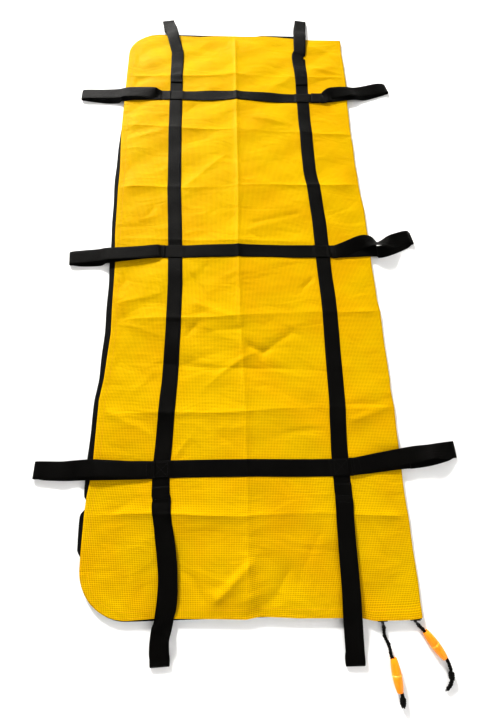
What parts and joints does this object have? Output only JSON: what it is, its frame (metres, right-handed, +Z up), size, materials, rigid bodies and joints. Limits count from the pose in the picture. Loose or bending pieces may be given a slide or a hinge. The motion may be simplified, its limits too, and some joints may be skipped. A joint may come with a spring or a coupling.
{
  "type": "rescue stretcher",
  "caption": "Flat zipped bag of coated mesh with a webbing harness and carrying loops, for lifting and recovering a casualty.",
  "frame": {"origin": "on the floor, under the middle of the bag, with the handles lying out", "axes": "+Z up from the floor to the harness side, +Y towards the head end, +X towards the folded side that has no zip"},
  "size_m": [1.2807, 2.5738, 0.0338],
  "materials": {
    "mesh_cloth": "coated square mesh, soft sheen",
    "webbing": "woven, soft sheen",
    "thread": "stitched thread",
    "zip_tape": "fine twill",
    "zip_coil": "moulded coil",
    "slider_metal": "black enamel",
    "cord": "braided",
    "float_shell": "glossy",
    "float_band": "glossy"
  },
  "bodies": {
    "base": {"lid_panel": "mesh_cloth", "lid_hem": "mesh_cloth", "side_fold": "mesh_cloth", "head_seam": "mesh_cloth", "zip_tape_lid": "zip_tape", "zip_coil_lid": "zip_coil", "zip_end_stops": "zip_coil", "harness_panel_right": "mesh_cloth", "harness_hem_right": "mesh_cloth", "zip_tape_right": "zip_tape", "zip_coil_right": "zip_coil", "long_strap_right": "webbing", "cross_strap_right_head": "webbing", "cross_strap_right_middle": "webbing", "cross_strap_right_foot": "webbing", "crossing_stitches_right": "thread"},
    "flap": {"harness_panel_left": "mesh_cloth", "harness_hem_left": "mesh_cloth", "zip_tape_left": "zip_tape", "zip_coil_left": "zip_coil", "long_strap_left": "webbing", "cross_strap_left_head": "webbing", "cross_strap_left_middle": "webbing", "cross_strap_left_foot": "webbing", "crossing_stitches_left": "thread"},
    "handle_side_left_head": {"handle_side_left_head": "webbing"},
    "handle_side_left_middle": {"handle_side_left_middle": "webbing"},
    "handle_side_left_foot": {"handle_side_left_foot": "webbing"},
    "handle_side_right_head": {"handle_side_right_head": "webbing"},
    "handle_side_right_middle": {"handle_side_right_middle": "webbing"},
    "handle_side_right_foot": {"handle_side_right_foot": "webbing"},
    "handle_head_left": {"handle_head_left": "webbing"},
    "handle_head_right": {"handle_head_right": "webbing"},
    "handle_foot_left": {"handle_foot_left": "webbing"},
    "handle_foot_right": {"handle_foot_right": "webbing"},
    "slider_a": {"slider_a": "slider_metal"},
    "slider_b": {"slider_b": "slider_metal"},
    "pull_a": {"pull_tab_a": "slider_metal", "pull_cord_a": "cord", "float_a_near_half": "float_shell", "float_a_band": "float_band", "float_a_far_half": "float_shell", "pull_knot_a": "cord"},
    "pull_b": {"pull_tab_b": "slider_metal", "pull_cord_b": "cord", "float_b_near_half": "float_shell", "float_b_band": "float_band", "float_b_far_half": "float_shell", "pull_knot_b": "cord"}
  },
  "joints": [
    {"name": "flap_fold", "type": "hinge", "parent": "base", "child": "flap", "pos_m": [0, 0, 0.0152], "axis": [0, -1, 0], "range_deg": [-150, 0]},
    {"name": "handle_side_left_head_lift", "type": "hinge", "parent": "flap", "child": "handle_side_left_head", "pos_m": [-0.312, 0.752, 0.0172], "axis": [0.0157, 0.9999, 0], "range_deg": [0, 150]},
    {"name": "handle_side_left_middle_lift", "type": "hinge", "parent": "flap", "child": "handle_side_left_middle", "pos_m": [-0.285, 0.007, 0.0172], "axis": [-0.0854, 0.9963, 0], "range_deg": [0, 150]},
    {"name": "handle_side_left_foot_lift", "type": "hinge", "parent": "flap", "child": "handle_side_left_foot", "pos_m": [-0.285, -0.738, 0.0172], "axis": [0.0244, 0.9997, 0], "range_deg": [0, 150]},
    {"name": "handle_side_right_head_lift", "type": "hinge", "parent": "base", "child": "handle_side_right_head", "pos_m": [0.342, 0.752, 0.0172], "axis": [0.247, -0.969, 0], "range_deg": [0, 150]},
    {"name": "handle_side_right_middle_lift", "type": "hinge", "parent": "base", "child": "handle_side_right_middle", "pos_m": [0.312, 0.007, 0.0172], "axis": [0.1942, -0.981, 0], "range_deg": [0, 150]},
    {"name": "handle_side_right_foot_lift", "type": "hinge", "parent": "base", "child": "handle_side_right_foot", "pos_m": [0.312, -0.738, 0.0172], "axis": [0.1374, -0.9905, 0], "range_deg": [0, 150]},
    {"name": "handle_head_left_lift", "type": "hinge", "parent": "flap", "child": "handle_head_left", "pos_m": [-0.252, 1, 0.0172], "axis": [0.9789, 0.2045, 0], "range_deg": [0, 120]},
    {"name": "handle_head_right_lift", "type": "hinge", "parent": "base", "child": "handle_head_right", "pos_m": [0.27, 1, 0.0172], "axis": [0.9962, -0.0872, 0], "range_deg": [0, 120]},
    {"name": "handle_foot_left_lift", "type": "hinge", "parent": "flap", "child": "handle_foot_left", "pos_m": [-0.25, -0.82, 0.0172], "axis": [-0.9994, -0.0349, 0], "range_deg": [0, 120]},
    {"name": "handle_foot_right_lift", "type": "hinge", "parent": "base", "child": "handle_foot_right", "pos_m": [0.272, -0.82, 0.0172], "axis": [-0.9999, 0.0105, 0], "range_deg": [0, 120]},
    {"name": "slider_a_run", "type": "slide", "parent": "base", "child": "slider_a", "axis": [1, 0, 0], "range_m": [-0.02, 0.06]},
    {"name": "slider_b_run", "type": "slide", "parent": "base", "child": "slider_b", "axis": [1, 0, 0], "range_m": [-0.05, 0]},
    {"name": "pull_a_swing", "type": "hinge", "parent": "slider_a", "child": "pull_a", "pos_m": [0.345, -1.1438, 0.0068], "axis": [0, 0, 1], "range_deg": [-14, 30]},
    {"name": "pull_b_swing", "type": "hinge", "parent": "slider_b", "child": "pull_b", "pos_m": [0.434, -1.1438, 0.0068], "axis": [0, 0, 1], "range_deg": [-35, 40]}
  ]
}
